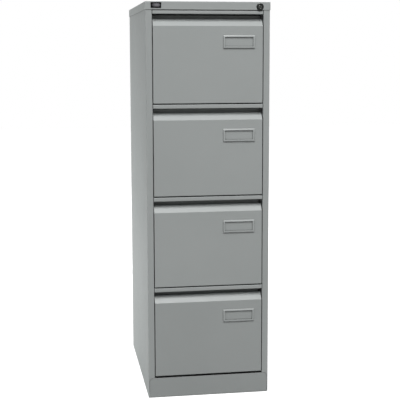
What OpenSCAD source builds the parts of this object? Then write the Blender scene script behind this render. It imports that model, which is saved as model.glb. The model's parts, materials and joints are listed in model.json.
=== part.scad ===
// Four-drawer vertical filing cabinet in folded sheet steel, in millimetres.
// The origin is on the floor under the middle of the cabinet. The drawers open towards -Y.

/* [Cabinet] */
// Number of drawers
drawer_count = 4; // [2:1:4]
// Overall width across the top cover
cabinet_w = 413; // [405:1:480]
// Overall depth from the lock face to the back of the top cover
cabinet_d = 622; // [610:1:640]
// Height of the lowest drawer opening above the floor
plinth_h = 70; // [60:0.5:90]
// Height from the top drawer opening to the top of the cover
head_h = 40; // [38:0.5:60]
// Width of the front stiles, seen from the front
stile_w = 21; // [20:0.5:30]
// Thickness of the steel sheet
sheet = 1; // [0.8:0.1:1.2]
// Radius of a fold at the middle of the sheet
fold_r = 1.4; // [1.2:0.1:2]

/* [Top cover] */
// Thickness of the cover sheet
cover_sheet = 1.2; // [1:0.1:1.2]
// How far the cover stands proud of the panels
cover_proud = 1.5; // [1.4:0.1:3]
// Height of the cover skirt
cover_skirt = 26.2; // [20:0.1:27]
// Radius of the cover's upper edges
cover_r = 2; // [1.5:0.1:3]

/* [Drawers] */
// Distance from one drawer to the next
drawer_pitch = 306; // [303:0.5:330]
// Height of the front rails between drawers
rail_h = 13; // [10:1:20]
// Height of a drawer front, including its grip
drawer_front_h = 289.5; // [280:0.5:291]
// Gap between a drawer front and the stile beside it
side_gap = 2.5; // [2:0.1:4]
// Distance from the drawer opening down to the top of the flat front
grip_drop = 38; // [34:1:45]
// Distance from the drawer opening down to the back edge of the grip
grip_edge_drop = 14.5; // [12:0.5:18]
// Depth of the sloped grip
grip_depth = 22; // [18:1:25]
// Depth from the flat front to the inner front
inner_front_depth = 44; // [42:1:50]
// Height of the tray sides
tray_h = 240; // [200:5:240]

/* [Slides] */
// Length of each slide member
slide_l = 540; // [520:5:540]
// Height of the outer slide member
slide_h = 45; // [45:1:50]
// Thickness of the slide members
slide_sheet = 1.2; // [1:0.1:1.2]
// Radius of the balls
ball_r = 2; // [1.9:0.05:2]
// Balls in each row
balls_per_row = 5; // [3:1:5]

/* [Label holders and badge] */
// Width of a label holder
label_w = 105.5; // [80:0.5:120]
// Height of a label holder
label_h = 42.5; // [30:0.5:60]
// Width of the label holder's border
label_border = 6; // [4:0.5:8]
// How far the label holder stands proud
label_proud = 3.5; // [2.5:0.1:3.5]
// Distance from the cabinet's middle to the middle of a label holder
label_x = 102.3; // [60:0.1:110]
// Width of the badge
badge_w = 34; // [20:1:40]
// Height of the badge
badge_h = 17.6; // [12:0.1:20]

/* [Lock] */
// Radius of the lock's bezel
bezel_r = 12; // [11:0.1:12.5]
// Radius of the turning plug
plug_r = 5.5; // [5:0.1:5.5]
// Downward travel of the lock bar
bar_travel = 12; // [10:0.5:12]

/* [Hidden] */

$fn = 48;
cut = 1; // how far a cutting shape runs past what it cuts
bend_steps = 5; // flats in each fold
corner_steps = 8; // flats in each rounded corner

paint = [0.58, 0.6, 0.59];
zinc = [0.75, 0.76, 0.77];
dark_metal = [0.3, 0.3, 0.3];
black = [0.06, 0.06, 0.06];

// Overall places
cabinet_h = plinth_h + drawer_count * drawer_pitch - rail_h + head_h;
bezel_t = 2.5;
cover_front_y = -cabinet_d / 2 + bezel_t;
front_y = cover_front_y + cover_proud;
rear_y = cabinet_d / 2 - cover_proud;
side_x = cabinet_w / 2 - cover_proud;
inside_x = side_x - sheet;
stile_x = side_x - stile_w;
cover_gap = 0.3; // between the cover's underside and the panels
panel_top = cabinet_h - cover_sheet - cover_gap;
stile_lip = 15;
flange = 20;
top_flange = 15;
seam = 0.7; // visible joint between the plinth and the side panels
rail_end_gap = 1.5; // visible joint between a rail and the stiles
rail_top_gap = 2.6; // visible joint between the top rail and the cover
rail_depth = 25;
back_gap = 2; // above and below the back panel

// Plinth and feet
plinth_inset = 3.7; // at each end, from the outside of the side panel
plinth_x = side_x - plinth_inset;
plinth_r = 12;
plinth_return = 6; // depth of the folded ends
plinth_drop = 2.5; // plinth's top edge below the lowest drawer opening
plinth_top = plinth_h - plinth_drop;
plinth_flange = 25;
plinth_flange_drop = 12; // flange below the plinth's top edge
plinth_foot_flange_x = 150;
foot_x = 178;
foot_y = 280;
foot_pad_r = 13;
foot_pad_h = 6;
foot_stud_r = 4;
foot_stud_top = 42;
foot_bracket_z = 20;
foot_bracket_t = 2;
foot_bracket_l = 46;
foot_bracket_lip = 12;
foot_flange_end = 250;
pan_z = 48;
pan_lip = 12;
pan_front_y = front_y + plinth_flange + 2;
pan_rear_gap = 1;

// Back panel ribs
rib_x = 60;
rib_w = 24;
rib_depth = 4;
rib_slope = 6;

// Slide places
post_inset = 0.5; // behind the edge of the stile
post_x = stile_x + post_inset; // face that the outer slide member is fixed to
post_w = 30;
inner_front_y = front_y + inner_front_depth;
slide_y = inner_front_y + sheet + cut;
slide_rise = 70; // slide's middle above the bottom of the drawer front
post_front_inset = 3;
post_rear_inset = 9;
post_front_y = slide_y + post_front_inset;
post_rear_y = slide_y + slide_l - post_w - post_rear_inset;
post_top_drop = 28;
post_top = panel_top - post_top_drop;

// Slide section, measured from the post face inwards and from the slide's middle upwards
race = 2 * ball_r + 0.2; // space that a row of balls runs in
slide_fold_r = 1.2;
outer_web = slide_sheet / 2;
outer_arm = slide_h / 2 - slide_sheet / 2;
outer_reach = 8.5;
middle_web = 3.3;
middle_arm = outer_arm - slide_sheet - race;
middle_reach = 10.2;
inner_web = 12.7 - slide_sheet / 2;
inner_arm = middle_arm - slide_sheet - race;
inner_reach = 5.3;
slide_t = inner_web + slide_sheet / 2; // whole thickness of the slide

// Ball cages
cage_sheet = 0.6;
cage_fold_r = 0.7;
cage_l = 240;
ball_pitch = 50;
ball_play = 0.15;
outer_cage_web = 1.95;
outer_cage_arm = (outer_arm + middle_arm) / 2;
outer_cage_reach = 8.2;
outer_ball_in = 5.2;
inner_cage_web = 4.6;
inner_cage_arm = (middle_arm + inner_arm) / 2;
inner_cage_reach = 10.6;
inner_ball_in = 7.6;

// Slide screws
screw_r = 2.4;
screw_hole_r = 2.5;
screw_head_r = 4.5;
screw_head_t = 3;

// Drawer front and inner front
drawer_x = stile_x - side_gap;
front_return = 24;
side_return = 18;
grip_hem = 9;
grip_rise = 1.2; // fold centre line above the grip's finished edge
inner_front_inset = 1; // at each end, from the end of the front
inner_front_x = drawer_x - inner_front_inset;
inner_front_drop = 2.5;
inner_front_lip = 12;
inner_front_tuck = 3; // how far its lower edge stops short of the front's

// Tray
tray_x = post_x - slide_t;
tray_rise = 8;
tray_overrun = 6; // past the rear end of the slides
tray_rear_y = slide_y + slide_l + tray_overrun;
hanger_w = 10;
hanger_lip = 7;
tray_rib_x = 60;
tray_rib_w = 30;
tray_rib_h = 3;

// Label holder and badge
label_drop = 50.8; // below the top of the flat front
label_bevel = 1; // at the sides and the bottom
label_slope_h = 5; // sloped top border
label_slope_d = 2.5;
label_sheet = 1.2;
label_rim = 2; // around the space for the card behind the frame
badge_x = -170.8;
badge_z = cabinet_h - 12.2;
badge_t = 1.2;
badge_rim = 2;
badge_r = 1.5;
badge_recess = 0.5;

// Lock
lock_x = 171.4;
lock_z = cabinet_h - 16.3;
barrel_r = 9;
barrel_play = 0.2;
barrel_depth = 19;
barrel_end_y = front_y + barrel_depth;
bore_play = 0.05;
keyway_w = 2.2;
keyway_h = 7;
keyway_depth = 9;
bezel_slope_w = 2;
bezel_slope_t = 1.1;
nut_r = 11.5;
nut_t = 4;
plug_sunk = 0.4; // below the bezel's face
plug_end_y = barrel_end_y + plug_sunk;
cam_t = 2;
cam_r = 5;
cam_nose_r = 3.4;
cam_arm = 2.6; // half the width of the cam's arm
cam_pin_r = 2;
cam_pin_l = 8;
cam_screw_r = 3;
cam_screw_t = 1.2;
pin_reach = bar_travel / 2; // the pin starts and ends 45 degrees above and below the plug
bar_x = 190;
bar_t = 2;
bar_w = 14;
bar_depth = 21;
bar_y = front_y + bar_depth;
bar_end_drop = 12;
head_t = 2;
head_y = plug_end_y + cam_t + 1.6;
head_up = 6;
head_down = 8;
slot_play = 0.45;
slot_end = 3.2;
tab_x = 176;
tab_depth = 24;
tab_y = front_y + tab_depth;
tab_l = 6;
tab_t = 3;
tab_rise = 200; // above the bottom of the drawer front
tab_notch = 12;
tab_play = 2;
guide_rise = 120;
guide_t = 8;
guide_wall = 3;
guide_play = 0.4;

// Heights of drawer n, counted from the top
function opening_top(n) = plinth_h + (drawer_count - n + 1) * drawer_pitch - rail_h;
function front_bottom(n) = opening_top(n) - drawer_front_h;
function lip_z(n) = opening_top(n) - grip_drop;
function tray_z(n) = front_bottom(n) + tray_rise;
function slide_z(n) = front_bottom(n) + slide_rise;

// Folded sheet, drawn as the line through the middle of its thickness
function unit(a, b) = (b - a) / norm(b - a);
function left_of(d) = [-d[1], d[0]];
function turned(d, angle) = [d[0] * cos(angle) - d[1] * sin(angle), d[0] * sin(angle) + d[1] * cos(angle)];
function turn_angle(d, e) = atan2(d[0] * e[1] - d[1] * e[0], d[0] * e[0] + d[1] * e[1]);
function fold_centre(b, d, turn, r) = b - d * r * tan(abs(turn) / 2) + left_of(d) * sign(turn) * r;
function fold(b, d, turn, off, r) = [
    for (k = [0 : bend_steps])
        fold_centre(b, d, turn, r) + (off - sign(turn) * r) * left_of(turned(d, turn * k / bend_steps))
];
function sheet_side(path, off, r) = [
    for (i = [0 : len(path) - 1])
        each i == 0 ? [path[0] + off * left_of(unit(path[0], path[1]))]
            : i == len(path) - 1 ? [path[i] + off * left_of(unit(path[i - 1], path[i]))]
            : fold(path[i], unit(path[i - 1], path[i]),
                   turn_angle(unit(path[i - 1], path[i]), unit(path[i], path[i + 1])), off, r)
];
function backwards(list) = [for (i = [len(list) - 1 : -1 : 0]) list[i]];
function mirrored(half) = concat(half, [for (p = backwards(half)) [-p[0], p[1]]]);
function arc(centre, r, from, to) = [
    for (k = [0 : corner_steps])
        centre + r * [cos(from + (to - from) * k / corner_steps), sin(from + (to - from) * k / corner_steps)]
];
function rounded(lo, hi, r) = concat(
    arc([hi[0] - r, lo[1] + r], r, -90, 0),
    arc([hi[0] - r, hi[1] - r], r, 0, 90),
    arc([lo[0] + r, hi[1] - r], r, 90, 180),
    arc([lo[0] + r, lo[1] + r], r, 180, 270)
);
function rounded_top(half_w, low, high, r) = concat(
    [[-half_w, low], [half_w, low]],
    arc([half_w - r, high - r], r, 0, 90),
    arc([-half_w + r, high - r], r, 90, 180)
);

module folded(path, t = sheet, r = fold_r) {
    polygon(concat(sheet_side(path, t / 2, r), backwards(sheet_side(path, -t / 2, r))));
}

// Outlines drawn in Y and Z, in X and Z, and a box between two corners
module along_x(half_l) {
    translate([-half_l, 0, 0]) rotate([90, 0, 90]) linear_extrude(2 * half_l) children();
}
module along_y(from, to) {
    translate([0, to, 0]) rotate([90, 0, 0]) linear_extrude(to - from) children();
}
module box(lo, hi) {
    translate(lo) cube(hi - lo);
}
module rod_y(r, x, z, from, to) {
    translate([x, to, z]) rotate([90, 0, 0]) cylinder(r = r, h = to - from);
}
module rod_x(r, y, z, from, to) {
    translate([from, y, z]) rotate([0, 90, 0]) cylinder(r = r, h = to - from);
}
module on_left() {
    mirror([1, 0, 0]) children();
}
module on_both_sides() {
    children();
    on_left() children();
}

module side_panel() {
    path = [
        [stile_x + sheet / 2, front_y + stile_lip],
        [stile_x + sheet / 2, front_y + sheet / 2],
        [side_x - sheet / 2, front_y + sheet / 2],
        [side_x - sheet / 2, rear_y - sheet / 2],
        [side_x - flange, rear_y - sheet / 2]
    ];
    color(paint) {
        difference() {
            linear_extrude(panel_top) folded(path);
            along_y(front_y - cut, front_y + stile_lip + cut)
                polygon(rounded_top(plinth_x + seam, -cut, plinth_top + seam, plinth_r));
        }
        box([side_x - flange, -foot_flange_end, 0], [inside_x, foot_flange_end, sheet]);
        box([side_x - top_flange, front_y + 2 * stile_lip, panel_top - sheet],
            [inside_x, rear_y - flange, panel_top]);
    }
}

module back_panel() {
    y = rear_y - 1.5 * sheet;
    half = [
        [inside_x - fold_r, y],
        [rib_x + rib_w + rib_slope, y],
        [rib_x + rib_w, y - rib_depth],
        [rib_x, y - rib_depth],
        [rib_x - rib_slope, y]
    ];
    color(paint) translate([0, 0, back_gap]) linear_extrude(panel_top - 2 * back_gap) folded(mirrored(half));
}

module cover_block(inset, low) {
    x = cabinet_w / 2 - inset;
    lo_y = cover_front_y + inset;
    hi_y = cabinet_d / 2 - inset;
    high = cabinet_h - inset;
    r = cover_r - inset;
    intersection() {
        along_y(lo_y, hi_y) polygon(rounded_top(x, low, high, r));
        translate([0, (lo_y + hi_y) / 2, 0])
            along_x(x) polygon(rounded_top((hi_y - lo_y) / 2, low, high, r));
        linear_extrude(high) polygon(rounded([-x, lo_y], [x, hi_y], r));
    }
}

module top_cover() {
    low = cabinet_h - cover_skirt;
    color(paint) difference() {
        cover_block(0, low);
        cover_block(cover_sheet, low - cut);
        rod_y(barrel_r + barrel_play, lock_x, lock_z, cover_front_y - cut, front_y + cut);
    }
}

module base_pan() {
    half = [
        [inside_x - sheet / 2, pan_z - pan_lip],
        [inside_x - sheet / 2, pan_z + sheet / 2]
    ];
    color(paint) along_y(pan_front_y, rear_y - 2 * sheet - rib_depth - pan_rear_gap) folded(mirrored(half));
}

module plinth() {
    flange_top = plinth_top - plinth_flange_drop;
    end_x = plinth_x - plinth_r;
    back_y = front_y + plinth_return;
    color(paint) {
        difference() {
            along_y(front_y, back_y) polygon(rounded_top(plinth_x, 0, plinth_top, plinth_r));
            along_y(front_y + sheet, back_y + cut)
                polygon(rounded_top(plinth_x - sheet, -cut, plinth_top - sheet, plinth_r - sheet));
            // only the ends and their round corners are folded back
            box([-end_x, front_y + sheet, plinth_top - 2 * sheet], [end_x, back_y + cut, plinth_top + cut]);
        }
        box([-end_x, front_y, flange_top - sheet], [end_x, front_y + plinth_flange, flange_top]);
        box([-plinth_foot_flange_x, front_y, 0], [plinth_foot_flange_x, front_y + flange, sheet]);
    }
}

module front_rail(low, high, depth) {
    path = [
        [front_y + depth, low + sheet / 2],
        [front_y + sheet / 2, low + sheet / 2],
        [front_y + sheet / 2, high - sheet / 2],
        [front_y + depth, high - sheet / 2]
    ];
    along_x(stile_x - rail_end_gap) folded(path);
    // welded edges, which meet the stiles
    for (z = [low, high - sheet])
        box([-stile_x, front_y + 2 * fold_r + sheet, z], [stile_x, front_y + stile_lip, z + sheet]);
}

module front_rail_top() {
    color(paint) front_rail(opening_top(1), cabinet_h - cover_skirt - rail_top_gap, stile_lip);
}

module front_rail_below(n) {
    color(paint) front_rail(opening_top(n + 1), opening_top(n + 1) + rail_h, rail_depth);
}

module slide_post(y) {
    path = [
        [inside_x, y + sheet / 2],
        [post_x + sheet / 2, y + sheet / 2],
        [post_x + sheet / 2, y + post_w - sheet / 2],
        [inside_x, y + post_w - sheet / 2]
    ];
    color(zinc) difference() {
        translate([0, 0, pan_z + sheet]) linear_extrude(post_top - pan_z) folded(path);
        for (n = [1 : drawer_count])
            rod_x(screw_hole_r, y + post_w / 2, slide_z(n), post_x - cut, post_x + sheet + cut);
    }
}

module slide_screws() {
    color(zinc)
        on_both_sides()
            for (n = [1 : drawer_count], y = [post_front_y, post_rear_y]) {
                rod_x(screw_r, y + post_w / 2, slide_z(n), post_x - slide_sheet, post_x + sheet + cut);
                rod_x(screw_head_r, y + post_w / 2, slide_z(n), post_x + sheet, post_x + sheet + screw_head_t);
            }
}

// A C-section member: web and arms are mid-sheet distances from the post face and the slide's middle
module slide_section(n, web, arm, reach, t, r) {
    folded([
        [post_x - reach, slide_z(n) + arm],
        [post_x - web, slide_z(n) + arm],
        [post_x - web, slide_z(n) - arm],
        [post_x - reach, slide_z(n) - arm]
    ], t, r);
}

module slide_member(n, web, arm, reach) {
    along_y(slide_y, slide_y + slide_l) slide_section(n, web, arm, reach, slide_sheet, slide_fold_r);
}

module slide_outer(n) {
    color(zinc) on_both_sides() difference() {
        slide_member(n, outer_web, outer_arm, outer_reach);
        for (y = [post_front_y, post_rear_y])
            rod_x(screw_hole_r, y + post_w / 2, slide_z(n), post_x - slide_sheet - cut, post_x + cut);
    }
}

module slide_middle(n) {
    color(zinc) on_both_sides() slide_member(n, middle_web, middle_arm, middle_reach);
}

module slide_inner(n) {
    color(zinc) on_both_sides() slide_member(n, inner_web, inner_arm, inner_reach);
}

module ball_cage(n, web, arm, reach, ball_in) {
    mid_y = slide_y + slide_l / 2;
    ball_x = post_x - ball_in;
    ball_ys = [for (i = [0 : balls_per_row - 1]) mid_y + (i - (balls_per_row - 1) / 2) * ball_pitch];
    color(zinc) on_both_sides() {
        difference() {
            along_y(mid_y - cage_l / 2, mid_y + cage_l / 2)
                slide_section(n, web, arm, reach, cage_sheet, cage_fold_r);
            for (y = ball_ys)
                translate([ball_x, y, slide_z(n) - arm - cut])
                    cylinder(r = ball_r + ball_play, h = 2 * (arm + cut));
        }
        for (y = ball_ys, side = [-1, 1])
            translate([ball_x, y, slide_z(n) + side * arm]) sphere(r = ball_r);
    }
}

module ball_cage_outer(n) {
    ball_cage(n, outer_cage_web, outer_cage_arm, outer_cage_reach, outer_ball_in);
}

module ball_cage_inner(n) {
    ball_cage(n, inner_cage_web, inner_cage_arm, inner_cage_reach, inner_ball_in);
}

module drawer_front(n) {
    low = front_bottom(n) + sheet / 2;
    face_y = front_y + sheet / 2;
    lip = lip_z(n);
    edge_y = front_y + grip_depth;
    edge_z = opening_top(n) - grip_edge_drop + grip_rise;
    slope = (edge_z - lip) / (edge_y - face_y);
    return_y = front_y + side_return;
    path = [
        [front_y + front_return, low],
        [face_y, low],
        [face_y, lip],
        [edge_y, edge_z],
        [edge_y, edge_z - grip_hem]
    ];
    side = [
        [face_y, low],
        [return_y, low],
        [return_y, lip + slope * (return_y - face_y)],
        [face_y, lip]
    ];
    color(paint) {
        along_x(drawer_x) folded(path);
        on_both_sides() translate([drawer_x - sheet / 2, 0, 0]) along_x(sheet / 2) polygon(side);
    }
}

module drawer_inner_front(n) {
    low = front_bottom(n) + 1.5 * sheet;
    high = opening_top(n) - inner_front_drop - sheet / 2;
    mid_y = inner_front_y + sheet / 2;
    notch_z = front_bottom(n) + tab_rise;
    path = [
        [front_y + front_return - inner_front_tuck, low],
        [mid_y, low],
        [mid_y, high],
        [inner_front_y + inner_front_lip, high]
    ];
    color(paint) difference() {
        along_x(inner_front_x) folded(path);
        // the lock tab passes here while the drawer is free to open
        box([tab_x - tab_play, inner_front_y - cut, notch_z - tab_notch / 2],
            [inner_front_x + cut, slide_y, notch_z + tab_notch / 2]);
    }
}

module drawer_tray(n) {
    x = tray_x - sheet / 2;
    low = tray_z(n) + sheet / 2;
    high = tray_z(n) + tray_h - sheet / 2;
    half = [
        [x - hanger_w, high - hanger_lip],
        [x - hanger_w, high],
        [x, high],
        [x, low],
        [tray_rib_x + tray_rib_w + tray_rib_h, low],
        [tray_rib_x + tray_rib_w, low + tray_rib_h],
        [tray_rib_x, low + tray_rib_h],
        [tray_rib_x - tray_rib_h, low]
    ];
    color(paint) {
        along_y(inner_front_y + sheet, tray_rear_y) folded(mirrored(half));
        along_y(tray_rear_y - sheet, tray_rear_y)
            polygon(rounded([-x, low], [x, high], fold_r));
    }
}

module label_block() {
    half_w = label_w / 2;
    half_h = label_h / 2;
    outer = front_y - label_proud;
    intersection() {
        along_x(half_w) polygon([
            [front_y, -half_h], [outer + label_bevel, -half_h], [outer, -half_h + label_bevel],
            [outer, half_h - label_slope_h], [outer + label_slope_d, half_h], [front_y, half_h]
        ]);
        translate([0, 0, -half_h]) linear_extrude(2 * half_h) polygon([
            [-half_w, front_y], [-half_w, outer + label_bevel], [-half_w + label_bevel, outer],
            [half_w - label_bevel, outer], [half_w, outer + label_bevel], [half_w, front_y]
        ]);
    }
}

module label_holder(n) {
    inner_w = label_w / 2 - label_border;
    inner_h = label_h / 2 - label_border;
    card_w = label_w / 2 - label_rim;
    card_h = inner_h + label_rim / 2;
    outer = front_y - label_proud;
    color(paint) translate([label_x, 0, lip_z(n) - label_drop]) difference() {
        label_block();
        box([-inner_w, outer - cut, -inner_h], [inner_w, front_y + cut, inner_h]);
        box([-card_w, outer + label_sheet, -card_h], [card_w, front_y + cut, card_h]);
    }
}

module name_badge() {
    corner = [badge_w / 2, badge_h / 2];
    rim = [badge_rim, badge_rim];
    color(black) translate([badge_x, 0, badge_z]) difference() {
        along_y(cover_front_y - badge_t, cover_front_y) polygon(rounded(-corner, corner, badge_r));
        along_y(cover_front_y - badge_t - cut, cover_front_y - badge_t + badge_recess)
            polygon(rounded(rim - corner, corner - rim, badge_r / 2));
    }
}

module lock_housing() {
    bezel_y = -cabinet_d / 2;
    color(dark_metal) difference() {
        union() {
            translate([lock_x, bezel_y + bezel_slope_t, lock_z]) rotate([90, 0, 0])
                cylinder(r1 = bezel_r, r2 = bezel_r - bezel_slope_w, h = bezel_slope_t);
            rod_y(bezel_r, lock_x, lock_z, bezel_y + bezel_slope_t, cover_front_y);
            rod_y(barrel_r, lock_x, lock_z, cover_front_y, barrel_end_y);
        }
        rod_y(plug_r + bore_play, lock_x, lock_z, bezel_y - cut, barrel_end_y + cut);
    }
}

module lock_nut() {
    near_y = cover_front_y + cover_sheet;
    color(zinc) difference() {
        translate([lock_x, near_y + nut_t, lock_z]) rotate([90, 0, 0])
            cylinder(r = nut_r, h = nut_t, $fn = 6);
        rod_y(barrel_r + bore_play, lock_x, lock_z, near_y - cut, near_y + nut_t + cut);
    }
}

module lock_plug() {
    face_y = -cabinet_d / 2 + plug_sunk;
    color(dark_metal) difference() {
        rod_y(plug_r, lock_x, lock_z, face_y, plug_end_y);
        box([lock_x - keyway_w / 2, face_y - cut, lock_z - keyway_h / 2],
            [lock_x + keyway_w / 2, face_y + keyway_depth, lock_z + keyway_h / 2]);
    }
}

module lock_cam() {
    end_y = plug_end_y + cam_t;
    pin_x = lock_x + pin_reach;
    pin_z = lock_z + pin_reach;
    color(zinc) {
        rod_y(cam_r, lock_x, lock_z, plug_end_y, end_y);
        rod_y(cam_nose_r, pin_x, pin_z, plug_end_y, end_y);
        translate([lock_x, plug_end_y, lock_z]) rotate([0, -45, 0])
            box([0, 0, -cam_arm], [norm([pin_reach, pin_reach]), cam_t, cam_arm]);
        rod_y(cam_pin_r, pin_x, pin_z, end_y - cam_t / 2, plug_end_y + cam_pin_l);
        rod_y(cam_screw_r, lock_x, lock_z, end_y - cam_t / 2, end_y + cam_screw_t);
    }
}

module lock_bar() {
    pin_x = lock_x + pin_reach;
    pin_z = lock_z + pin_reach;
    low = front_bottom(drawer_count) + tab_rise - bar_end_drop;
    high = pin_z + head_up;
    color(zinc) {
        box([bar_x, bar_y, low], [bar_x + bar_t, bar_y + bar_w, high]);
        difference() {
            box([lock_x + cut, head_y, pin_z - head_down], [bar_x + bar_t, head_y + head_t, high]);
            box([pin_x - cam_pin_r - slot_play, head_y - cut, pin_z - cam_pin_r - slot_play],
                [pin_x + cam_pin_r + slot_end, head_y + head_t + cut, pin_z + cam_pin_r + slot_play]);
        }
        for (n = [1 : drawer_count]) {
            z = front_bottom(n) + tab_rise;
            box([tab_x, tab_y, z - tab_t / 2], [bar_x + bar_t / 2, tab_y + tab_l, z + tab_t / 2]);
        }
    }
}

module lock_bar_guides() {
    color(zinc) for (n = [1 : drawer_count]) {
        z = front_bottom(n) + guide_rise;
        difference() {
            box([bar_x - guide_play - guide_wall, bar_y - guide_play - guide_wall, z - guide_t / 2],
                [inside_x, bar_y + bar_w + guide_play + guide_wall, z + guide_t / 2]);
            box([bar_x - guide_play, bar_y - guide_play, z - guide_t],
                [bar_x + bar_t + guide_play, bar_y + bar_w + guide_play, z + guide_t]);
        }
    }
}

module foot_bracket(side_y) {
    near_y = side_y < 0 ? front_y + plinth_return + sheet : rear_y - 3 * sheet - foot_bracket_l;
    top = foot_bracket_z + foot_bracket_t;
    difference() {
        union() {
            box([inside_x - foot_bracket_l, near_y, foot_bracket_z], [inside_x, near_y + foot_bracket_l, top]);
            box([inside_x - foot_bracket_t, near_y, top],
                [inside_x, near_y + foot_bracket_l, top + foot_bracket_lip]);
        }
        translate([foot_x, side_y, foot_bracket_z - cut])
            cylinder(r = foot_stud_r + bore_play, h = foot_bracket_t + 2 * cut);
    }
}

module foot_brackets() {
    color(paint) on_both_sides() for (y = [-foot_y, foot_y]) foot_bracket(y);
}

module levelling_feet() {
    color(black) on_both_sides() for (y = [-foot_y, foot_y]) translate([foot_x, y, 0]) {
        cylinder(r = foot_pad_r, h = foot_pad_h);
        cylinder(r = foot_stud_r, h = foot_stud_top);
    }
}

on_left() side_panel();  // side_panel_left
side_panel();  // side_panel_right
back_panel();
top_cover();
base_pan();
plinth();
front_rail_top();
on_left() slide_post(post_front_y);  // slide_post_front_left
slide_post(post_front_y);  // slide_post_front_right
on_left() slide_post(post_rear_y);  // slide_post_rear_left
slide_post(post_rear_y);  // slide_post_rear_right
name_badge();
lock_housing();
lock_nut();
lock_plug();
lock_cam();
lock_bar();
lock_bar_guides();
slide_screws();
foot_brackets();
levelling_feet();
for (n = [1 : drawer_count - 1]) {
    front_rail_below(n);
}
for (n = [1 : drawer_count]) {
    drawer_front(n);
    drawer_inner_front(n);
    drawer_tray(n);
    label_holder(n);
    slide_outer(n);
    slide_middle(n);
    slide_inner(n);
    ball_cage_outer(n);
    ball_cage_inner(n);
}
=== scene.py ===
import json
import math

import bmesh
import bpy
from mathutils import Matrix, Vector


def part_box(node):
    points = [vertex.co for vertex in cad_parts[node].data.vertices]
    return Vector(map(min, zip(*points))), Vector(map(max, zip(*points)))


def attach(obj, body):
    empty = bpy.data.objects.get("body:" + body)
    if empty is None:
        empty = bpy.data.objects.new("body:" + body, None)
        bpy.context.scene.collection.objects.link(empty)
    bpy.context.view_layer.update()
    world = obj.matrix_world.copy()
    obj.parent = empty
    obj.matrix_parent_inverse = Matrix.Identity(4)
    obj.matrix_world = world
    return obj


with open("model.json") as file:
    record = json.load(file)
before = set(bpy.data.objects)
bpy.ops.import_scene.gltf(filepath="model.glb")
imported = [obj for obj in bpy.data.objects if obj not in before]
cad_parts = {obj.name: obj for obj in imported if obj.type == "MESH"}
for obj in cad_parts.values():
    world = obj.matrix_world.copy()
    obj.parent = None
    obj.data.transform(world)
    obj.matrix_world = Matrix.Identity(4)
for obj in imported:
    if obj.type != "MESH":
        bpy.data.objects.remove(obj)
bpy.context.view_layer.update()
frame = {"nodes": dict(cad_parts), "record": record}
MM = 0.001

# The camera: place and clipping in metres, angles in degrees, lens and sensor in millimetres.
CAMERA_PLACE = (-0.5168, -3.4617, 1.1464)
CAMERA_YAW = -9.153
CAMERA_PITCH = 7.283
CAMERA_ROLL = -0.101
CAMERA_LENS = 87.446
CAMERA_SENSOR = 36.0
CAMERA_SHIFT = (-0.015, -0.05)
CAMERA_CLIP = (0.05, 60.0)

# The studio: points that the lights face, the world's light on the cabinet, and half the floor's side.
LOW_AIM = (0, -0.3, 0.3)
FRONT_AIM = (0, -0.3, 0.6)
SIDE_AIM = (-0.2, 0, 0.2)
BACK_AIM = (0, 0, 0.6)
WORLD_LIGHT = 0.195
FLOOR_HALF = 12.0

# Paint colours, all linear: its body, its lighter clouds, its edges and specks, and the painted shade in its
# gaps.
PAINT = (0.412, 0.437, 0.431)
PAINT_LIGHT = (0.433, 0.458, 0.452)
PAINT_EDGE = (0.50, 0.52, 0.515)
PAINT_GAP_SHADE = (0.036, 0.039, 0.038)
# Painted shade: the lowest front and the plinth get darker copies of the paint, as the lamps alone leave
# them too light.
LOW_SHADE_TONE = 0.95
PLINTH_SHADE_TONE = 0.92
# Painted shade: paint in a gap narrower than this is darkened; the second reach is the label holders'.
PAINT_SHADE_REACH = 7 * MM
LABEL_SHADE_REACH = 11 * MM

# The other materials: darker patches, lighter patches and worn edges, all linear.
ZINC = ((0.50, 0.51, 0.52), (0.62, 0.63, 0.64), (0.75, 0.76, 0.77))
BLACK_NICKEL = ((0.052, 0.056, 0.053), (0.082, 0.087, 0.083), (0.28, 0.29, 0.28))
DARK_NICKEL = ((0.18, 0.19, 0.18), (0.25, 0.26, 0.245), (0.5, 0.5, 0.49))
BRIGHT_NICKEL = ((0.26, 0.27, 0.26), (0.34, 0.35, 0.34), (0.5, 0.51, 0.5))
GLOSS_BLACK = ((0.004, 0.004, 0.0045), (0.008, 0.008, 0.009), (0.010, 0.010, 0.011))
MATT_BLACK = ((0.02, 0.02, 0.02), (0.035, 0.035, 0.035), (0.09, 0.09, 0.09))
# The inlay's darker and lighter patches, and the near black that its painted sheen fades to at the rim.
INLAY = ((0.25, 0.25, 0.27), (0.36, 0.36, 0.385))
INLAY_BEYOND_SHEEN = (0.006, 0.006, 0.007)
FLOOR_PALE = ((0.44, 0.44, 0.44), (0.46, 0.46, 0.46))
FLOOR_BOUNCE = (0.27, 0.27, 0.27)
FLOOR_GLOW = 0.9

# Nearly all of a noise texture's values lie between these two.
NOISE_RANGE = (0.3, 0.7)
# Cosine between a face's flat and rounded normals: no wear at the first and full wear at the second.
WEAR_COSINES = (0.99, 0.8)
WEAR_SAMPLES = 4
# Share of a point's surroundings that is open: full painted shade at the first and none at the second.
OPEN_SHARES = (0.25, 0.8)
OPEN_SAMPLES = 6

# CAD nodes whose material isn't their slot's own, by name or by name without a drawer's number.
OWN_MATERIAL = {
    # Painted shade: darker paint on the lowest front and the plinth.
    "drawer_front_4": "low_shaded_paint",
    "plinth": "plinth_shaded_paint",
    # Painted shade reaching wider into the label holders' gaps.
    "label_holder": "label_shaded_paint",
    "lock_plug": "plug_metal",
}
# Widths of the rounding on sharp edges, by name without a number, and the width on all other nodes.
EDGE_WIDTHS = {"label_holder": 0.4 * MM, "lock_housing": 0.4 * MM, "levelling_feet": 1.0 * MM}
EDGE_WIDTH = 0.3 * MM
EDGE_SEGMENTS = 2
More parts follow.
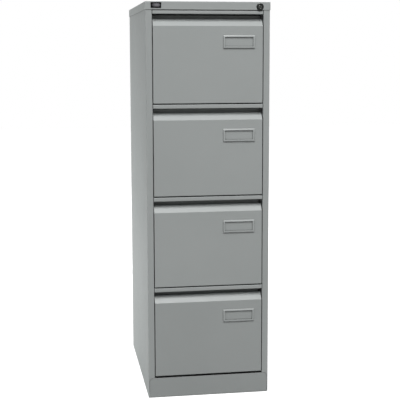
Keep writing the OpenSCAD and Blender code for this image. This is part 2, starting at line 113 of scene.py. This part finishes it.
# Angles in degrees: faces that meet below the first become one, and edges above the second are rounded.
FLAT_ANGLE = 0.5
SHARP_ANGLE = 32
WELD_REACH = 0.005 * MM
FLATS_WEIGHT = 80


class Shader:
    """A material whose nodes are added one call at a time."""

    def __init__(self, name):
        self.material = bpy.data.materials.new(name)
        self.material.use_nodes = True
        self.tree = self.material.node_tree
        self.tree.nodes.clear()
        output = self.tree.nodes.new("ShaderNodeOutputMaterial")
        self.surface = self.tree.nodes.new("ShaderNodeBsdfPrincipled")
        self.link(self.surface.outputs[0], output.inputs["Surface"])
        self.place = self.tree.nodes.new("ShaderNodeTexCoord").outputs["Object"]

    def link(self, source, target):
        self.tree.links.new(source, target)

    def feed(self, name, source):
        """Links source to the named input of the surface."""
        self.link(source, self.surface.inputs[name])

    def set(self, **values):
        for name, value in values.items():
            self.surface.inputs[name.replace("_", " ")].default_value = value

    def node(self, kind, settings=None, **inputs):
        made = self.tree.nodes.new(kind)
        for name, value in (settings or {}).items():
            setattr(made, name, value)
        for name, value in inputs.items():
            socket = made.inputs[name.replace("_", " ")]
            if isinstance(value, bpy.types.NodeSocket):
                self.link(value, socket)
            else:
                socket.default_value = value
        return made

    def noise(self, scale, detail, place=None):
        made = self.node("ShaderNodeTexNoise", Vector=place or self.place, Scale=scale, Detail=detail)
        return made.outputs["Fac"]

    def spread(self, value, low, high, to_low=0.0, to_high=1.0):
        """value, stretched from low..high to to_low..to_high."""
        made = self.node("ShaderNodeMapRange", Value=value)
        for name, number in (("From Min", low), ("From Max", high), ("To Min", to_low), ("To Max", to_high)):
            made.inputs[name].default_value = number
        return made.outputs["Result"]

    def patches(self, noise, to_low=0.0, to_high=1.0):
        """noise, stretched so that its usual range fills to_low..to_high."""
        return self.spread(noise, *NOISE_RANGE, to_low, to_high)

    def blend(self, factor, first, second):
        made = self.node("ShaderNodeMix", {"data_type": "RGBA"})
        self.link(factor, made.inputs["Factor"])
        for socket, value in ((made.inputs[6], first), (made.inputs[7], second)):
            if isinstance(value, bpy.types.NodeSocket):
                self.link(value, socket)
            else:
                socket.default_value = (*value, 1.0)
        return made.outputs[2]

    def near(self, centre, reach):
        """1 at centre, falling to 0 at reach, which is a distance along each axis."""
        scale = [1 / r for r in reach]
        local = self.node("ShaderNodeMapping", Vector=self.place, Scale=scale,
                          Location=[-c * k for c, k in zip(centre, scale)]).outputs["Vector"]
        away = self.node("ShaderNodeVectorMath", {"operation": "LENGTH"})
        self.link(local, away.inputs[0])
        return self.spread(away.outputs["Value"], 1.0, 0.0)

    def stretched(self, x, y, z):
        return self.node("ShaderNodeMapping", Vector=self.place, Scale=(x, y, z)).outputs["Vector"]

    def edges(self, radius):
        """1 along convex and concave edges and 0 on open faces."""
        rounded = self.node("ShaderNodeBevel", {"samples": WEAR_SAMPLES}, Radius=radius).outputs[0]
        flat = self.node("ShaderNodeNewGeometry").outputs["Normal"]
        dot = self.node("ShaderNodeVectorMath", {"operation": "DOT_PRODUCT"})
        self.link(rounded, dot.inputs[0])
        self.link(flat, dot.inputs[1])
        return self.spread(dot.outputs["Value"], *WEAR_COSINES)

    def open_faces(self, reach):
        """1 on open faces, falling to 0 down in gaps and corners narrower than reach: the mask of the
        painted shade.
        """
        node = self.node("ShaderNodeAmbientOcclusion", {"samples": OPEN_SAMPLES}, Distance=reach)
        return self.spread(node.outputs["AO"], *OPEN_SHARES)

    def bump(self, height, distance, strength, after=None):
        made = self.node("ShaderNodeBump", Height=height, Distance=distance, Strength=strength)
        if after is not None:
            self.link(after, made.inputs["Normal"])
        self.feed("Normal", made.outputs[0])
        return made.outputs[0]

    def patchy_colour(self, noise, colours, wear):
        """Two colours in patches of noise, with a third along edges within wear of them."""
        dark, light, edge = colours
        colour = self.blend(self.patches(noise), dark, light)
        self.feed("Base Color", self.blend(self.edges(wear), colour, edge))


def paint_material(name, shade_tone=1.0, gap=PAINT_SHADE_REACH):
    s = Shader(name)
    cloud = s.patches(s.noise(scale=4.0, detail=4.0))
    # Painted shade: a tone below 1 gives a darker copy of the paint.
    coat = s.blend(cloud, [shade_tone * c for c in PAINT], [shade_tone * c for c in PAINT_LIGHT])
    speck = s.spread(s.noise(scale=2600.0, detail=1.0), low=0.45, high=0.75, to_high=0.12)
    coat = s.blend(speck, coat, PAINT_EDGE)
    worn = s.blend(s.edges(radius=0.6 * MM), coat, PAINT_EDGE)
    # Painted shade: the coat darkens in gaps and corners narrower than the reach given.
    s.feed("Base Color", s.blend(s.open_faces(gap), PAINT_GAP_SHADE, worn))
    s.feed("Roughness", s.patches(s.noise(scale=35.0, detail=4.0), to_low=0.42, to_high=0.50))
    peel = s.bump(s.noise(scale=420.0, detail=2.0), distance=0.05 * MM, strength=0.5)
    s.bump(s.noise(scale=1500.0, detail=1.0), distance=0.02 * MM, strength=0.5, after=peel)
    s.set(Specular_IOR_Level=0.7)
    return s.material


def zinc_material():
    s = Shader("bright_zinc")
    s.patchy_colour(s.noise(scale=60.0, detail=3.0), ZINC, wear=0.4 * MM)
    drawn = s.noise(scale=180.0, detail=3.0, place=s.stretched(1.0, 0.03, 1.0))
    s.feed("Roughness", s.patches(drawn, to_low=0.30, to_high=0.42))
    s.bump(drawn, distance=0.01 * MM, strength=0.3)
    s.set(Metallic=1.0)
    return s.material


def nickel_material(name, colours):
    s = Shader(name)
    s.patchy_colour(s.noise(scale=220.0, detail=3.0), colours, wear=0.4 * MM)
    s.feed("Roughness", s.patches(s.noise(scale=900.0, detail=2.0), to_low=0.18, to_high=0.32))
    s.bump(s.noise(scale=2500.0, detail=1.0), distance=0.01 * MM, strength=0.5)
    s.set(Metallic=1.0)
    return s.material


def plastic_material(name, colours, rough, coat, gloss):
    s = Shader(name)
    s.patchy_colour(s.noise(scale=120.0, detail=3.0), colours, wear=0.5 * MM)
    grain = s.noise(scale=500.0, detail=2.0)
    s.feed("Roughness", s.patches(grain, to_low=rough - 0.05, to_high=rough + 0.05))
    s.bump(s.noise(scale=3000.0, detail=1.0), distance=0.01 * MM, strength=0.5)
    s.set(Coat_Weight=coat, Specular_IOR_Level=gloss)
    return s.material


def inlay_material():
    """Satin metal with a painted sheen, bright a little to the right of the badge's middle and dark towards
    its rim.
    """
    s = Shader("satin_inlay")
    low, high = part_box("name_badge")
    size = high - low
    # Shares of the badge's size: how far right of its middle the painted sheen's bright spot lies, and how
    # far it reaches.
    right_share = 0.08
    reach_share = 0.54
    bright = (low + high) / 2 + Vector((right_share * size.x, 0, 0))
    reach = Vector((reach_share * size.x, size.x, reach_share * size.z))
    brushed = s.noise(scale=700.0, detail=2.0, place=s.stretched(0.05, 1.0, 1.0))
    colour = s.blend(s.patches(brushed), *INLAY)
    # Painted sheen: bright a little right of the middle, fading to near black at the rim.
    s.feed("Base Color", s.blend(s.near(bright, reach), INLAY_BEYOND_SHEEN, colour))
    s.feed("Roughness", s.patches(brushed, to_low=0.3, to_high=0.45))
    s.bump(brushed, distance=0.01 * MM, strength=0.6)
    s.set(Metallic=0.3)
    return s.material


def floor_material():
    """Pale to the camera, and darker to the light that it sends back up at the cabinet."""
    s = Shader("pale_floor")
    seen = s.node("ShaderNodeLightPath").outputs["Is Camera Ray"]
    pale = s.blend(s.patches(s.noise(scale=2.0, detail=3.0)), *FLOOR_PALE)
    s.feed("Base Color", s.blend(seen, FLOOR_BOUNCE, pale))
    s.feed("Emission Strength", s.spread(seen, 0.0, 1.0, to_high=FLOOR_GLOW))
    s.set(Roughness=0.9, Emission_Color=(1.0, 1.0, 1.0, 1.0))
    return s.material


def make_materials():
    return {
        "grey_paint": paint_material("grey_powder_coat"),
        # Darker copies of the paint on the lowest front and the plinth are painted shade.
        "low_shaded_paint": paint_material("grey_powder_coat_low_painted_shade", shade_tone=LOW_SHADE_TONE),
        "plinth_shaded_paint": paint_material("grey_powder_coat_plinth_painted_shade", shade_tone=PLINTH_SHADE_TONE),
        # Label holders' paint: painted shade reaching wider into their gaps.
        "label_shaded_paint": paint_material("grey_powder_coat_label_painted_shade", gap=LABEL_SHADE_REACH),
        "zinc_steel": zinc_material(),
        "lock_metal": nickel_material("black_nickel", BLACK_NICKEL),
        "plug_metal": nickel_material("dark_nickel", DARK_NICKEL),
        "rim_metal": nickel_material("bright_nickel", BRIGHT_NICKEL),
        "badge_black": plastic_material("gloss_black", GLOSS_BLACK, rough=0.35, coat=0.02, gloss=0.06),
        "foot_plastic": plastic_material("matt_black", MATT_BLACK, rough=0.6, coat=0.0, gloss=0.4),
        "inlay": inlay_material(),
    }


def smooth_group():
    """Geometry nodes that shade every face smooth, before the weighted normals flatten the flats."""
    group = bpy.data.node_groups.new("shade_smooth", "GeometryNodeTree")
    group.interface.new_socket("Geometry", in_out="INPUT", socket_type="NodeSocketGeometry")
    group.interface.new_socket("Geometry", in_out="OUTPUT", socket_type="NodeSocketGeometry")
    start = group.nodes.new("NodeGroupInput")
    smooth = group.nodes.new("GeometryNodeSetShadeSmooth")
    end = group.nodes.new("NodeGroupOutput")
    group.links.new(start.outputs[0], smooth.inputs["Geometry"])
    group.links.new(smooth.outputs[0], end.inputs[0])
    return group


SMOOTH = smooth_group()


def soften(piece, width):
    """Joins the mesh, merges its flats, rounds its sharp edges, and shades flats flat and folds round."""
    weld = piece.modifiers.new("weld", "WELD")
    weld.merge_threshold = WELD_REACH
    flats = piece.modifiers.new("flats", "DECIMATE")
    flats.decimate_type = "DISSOLVE"
    flats.angle_limit = math.radians(FLAT_ANGLE)
    bevel = piece.modifiers.new("edges", "BEVEL")
    bevel.width = width
    bevel.segments = EDGE_SEGMENTS
    bevel.limit_method = "ANGLE"
    bevel.angle_limit = math.radians(SHARP_ANGLE)
    smooth = piece.modifiers.new("smooth", "NODES")
    smooth.node_group = SMOOTH
    normals = piece.modifiers.new("normals", "WEIGHTED_NORMAL")
    normals.weight = FLATS_WEIGHT


def cover_in(piece, material):
    piece.data.materials.clear()
    piece.data.materials.append(material)


def dress_cad_nodes(materials):
    """Gives each CAD node its own material or its slot's, and rounds its edges."""
    slots = {row["node"]: row["material_slot"] for row in frame["record"]["subparts"]}
    for name, node in frame["nodes"].items():
        kind = name.rstrip("_1234")
        material = OWN_MATERIAL.get(name) or OWN_MATERIAL.get(kind) or slots[name]
        cover_in(node, materials[material])
        soften(node, EDGE_WIDTHS.get(kind, EDGE_WIDTH))


def add_piece(name, mesh, material, body):
    piece = bpy.data.objects.new(name, mesh)
    bpy.context.scene.collection.objects.link(piece)
    cover_in(piece, material)
    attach(piece, body)
    return piece


def mesh_from(build, name):
    """A mesh of what build adds to an empty bmesh."""
    made = bmesh.new()
    build(made)
    bmesh.ops.recalc_face_normals(made, faces=made.faces)
    mesh = bpy.data.meshes.new(name)
    made.to_mesh(mesh)
    made.free()
    return mesh


def join_rings(made, outer, inner):
    """Faces between two rings of as many vertices."""
    for i in range(len(outer)):
        j = (i + 1) % len(outer)
        made.faces.new((outer[i], outer[j], inner[j], inner[i]))


def rounded_outline(width, height, radius, steps=8):
    """Points round a rectangle with round corners, in X and Z, with steps to each corner."""
    points = []
    for k, (sx, sz) in enumerate(((1, -1), (1, 1), (-1, 1), (-1, -1))):
        for i in range(steps + 1):
            angle = math.radians(90 * (k - 1) + 90 * i / steps)
            points.append((sx * (width / 2 - radius) + radius * math.cos(angle),
                           sz * (height / 2 - radius) + radius * math.sin(angle)))
    return points


def badge_inlay(materials):
    """A blank oval plate in the badge's recess, domed towards its middle."""
    low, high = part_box("name_badge")
    centre = (low + high) / 2
    border = 3.5 * MM
    back_y = high.y - 0.6 * MM
    width = high.x - low.x - 2 * border
    height = high.z - low.z - 2 * border
    corner_share = 0.48
    # Each ring of the dome: its share of the outline, and its rise in millimetres.
    dome = ((1.0, 0.0), (1.0, 0.25), (0.94, 0.4), (0.6, 0.5), (0.25, 0.52))

    def build(made):
        rings = []
        for share, rise in dome:
            outline = rounded_outline(width * share, height * share, height * share * corner_share)
            y = back_y - rise * MM
            rings.append([made.verts.new((centre.x + x, y, centre.z + z)) for x, z in outline])
        for outer, inner in zip(rings, rings[1:]):
            join_rings(made, outer, inner)
        made.faces.new(rings[-1])
        made.faces.new(rings[0])

    mesh = mesh_from(build, "badge_inlay")
    piece = add_piece("badge_inlay", mesh, materials["inlay"], "root")
    soften(piece, 0.1 * MM)


def lathe(made, centre, profile, closed=False, steps=40):
    """Turns a profile of (radius, distance along Y) in millimetres round the Y axis through centre."""
    turns = [2 * math.pi * i / steps for i in range(steps)]
    rings = []
    for radius, along in profile:
        y = centre.y + along * MM
        rings.append([made.verts.new((centre.x + radius * MM * math.cos(turn), y,
                                      centre.z + radius * MM * math.sin(turn))) for turn in turns])
    for outer, inner in zip(rings, rings[1:]):
        join_rings(made, outer, inner)
    if closed:
        join_rings(made, rings[-1], rings[0])
    else:
        made.faces.new(rings[0])
        made.faces.new(rings[-1])


def plug_rim(materials):
    """The turned rim round the face of the lock's plug."""
    low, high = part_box("lock_plug")
    centre = Vector(((low.x + high.x) / 2, low.y, (low.z + high.z) / 2))
    profile = ((5.45, 0.2), (5.4, -0.15), (5.2, -0.28), (4.9, -0.2), (4.75, 0.2))

    def build(made):
        lathe(made, centre, profile, closed=True)

    mesh = mesh_from(build, "plug_rim")
    piece = add_piece("plug_rim", mesh, materials["rim_metal"], "lock_plug")
    soften(piece, 0.05 * MM)


def weld_marks(materials):
    """Spot welds down the rear flanges of the side panels, under the paint."""
    low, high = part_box("side_panel_left")
    rear = high.y
    inset = 9 * MM
    count = 12
    profile = ((3.0, -0.2), (3.0, 0.02), (2.7, 0.2), (2.2, 0.24), (1.8, 0.08), (0.7, 0.04))

    def build(made):
        for x in (low.x + inset, -low.x - inset):
            for i in range(count):
                z = low.z + (high.z - low.z) * (i + 0.5) / count
                lathe(made, Vector((x, rear, z)), profile, steps=24)

    mesh = mesh_from(build, "weld_marks")
    add_piece("weld_marks", mesh, materials["grey_paint"], "root")


def make_camera():
    data = bpy.data.cameras.new("camera")
    data.sensor_width = CAMERA_SENSOR
    data.lens = CAMERA_LENS
    data.shift_x, data.shift_y = CAMERA_SHIFT
    data.clip_start, data.clip_end = CAMERA_CLIP
    camera = bpy.data.objects.new("camera", data)
    bpy.context.scene.collection.objects.link(camera)
    yaw = Matrix.Rotation(math.radians(CAMERA_YAW), 4, "Z")
    pitch = Matrix.Rotation(math.radians(90 - CAMERA_PITCH), 4, "X")
    roll = Matrix.Rotation(math.radians(CAMERA_ROLL), 4, "Z")
    camera.matrix_world = Matrix.Translation(CAMERA_PLACE) @ yaw @ pitch @ roll
    bpy.context.scene.camera = camera


def area_light(name, place, target, size, power, glossy=True):
    data = bpy.data.lights.new(name, "AREA")
    data.shape = "RECTANGLE"
    data.size, data.size_y = size
    data.energy = power
    light = bpy.data.objects.new(name, data)
    bpy.context.scene.collection.objects.link(light)
    light.visible_glossy = glossy
    light.location = place
    light.rotation_euler = (Vector(target) - Vector(place)).to_track_quat("-Z", "Y").to_euler()


def make_lights():
    area_light("key", place=(-0.4, -5.6, 10.2), target=LOW_AIM, size=(4.8, 3.7), power=690)
    area_light("low_key", place=(-0.2, -6.4, 7.5), target=LOW_AIM, size=(4.8, 2.4), power=200)
    area_light("front_fill", place=(0.2, -6.0, 1.0), target=FRONT_AIM, size=(4.0, 1.6), power=5)
    area_light("side_fill", place=(-1.95, 1.0, 0.3), target=SIDE_AIM, size=(2.0, 0.55), power=39,
               glossy=False)
    area_light("back_fill", place=(1.8, 3.6, 2.6), target=BACK_AIM, size=(2.5, 2.0), power=110,
               glossy=False)


def make_world():
    """White to the camera, and dimmer to the cabinet."""
    world = bpy.data.worlds.new("studio")
    bpy.context.scene.world = world
    world.use_nodes = True
    tree = world.node_tree
    background = tree.nodes["Background"]
    seen = tree.nodes.new("ShaderNodeLightPath").outputs["Is Camera Ray"]
    strength = tree.nodes.new("ShaderNodeMapRange")
    strength.inputs["To Min"].default_value = WORLD_LIGHT
    strength.inputs["To Max"].default_value = 1.0
    tree.links.new(seen, strength.inputs["Value"])
    tree.links.new(strength.outputs[0], background.inputs["Strength"])
    background.inputs["Color"].default_value = (1, 1, 1, 1)


def make_floor():
    def build(made):
        bmesh.ops.create_grid(made, x_segments=8, y_segments=8, size=FLOOR_HALF)

    floor = bpy.data.objects.new("floor", mesh_from(build, "floor"))
    bpy.context.scene.collection.objects.link(floor)
    cover_in(floor, floor_material())


def make_studio():
    make_world()
    make_lights()
    make_floor()
    view = bpy.context.scene.view_settings
    view.view_transform = "Standard"
    view.look = "None"


def main():
    make_camera()
    make_studio()
    materials = make_materials()
    dress_cad_nodes(materials)
    badge_inlay(materials)
    plug_rim(materials)
    weld_marks(materials)


main()
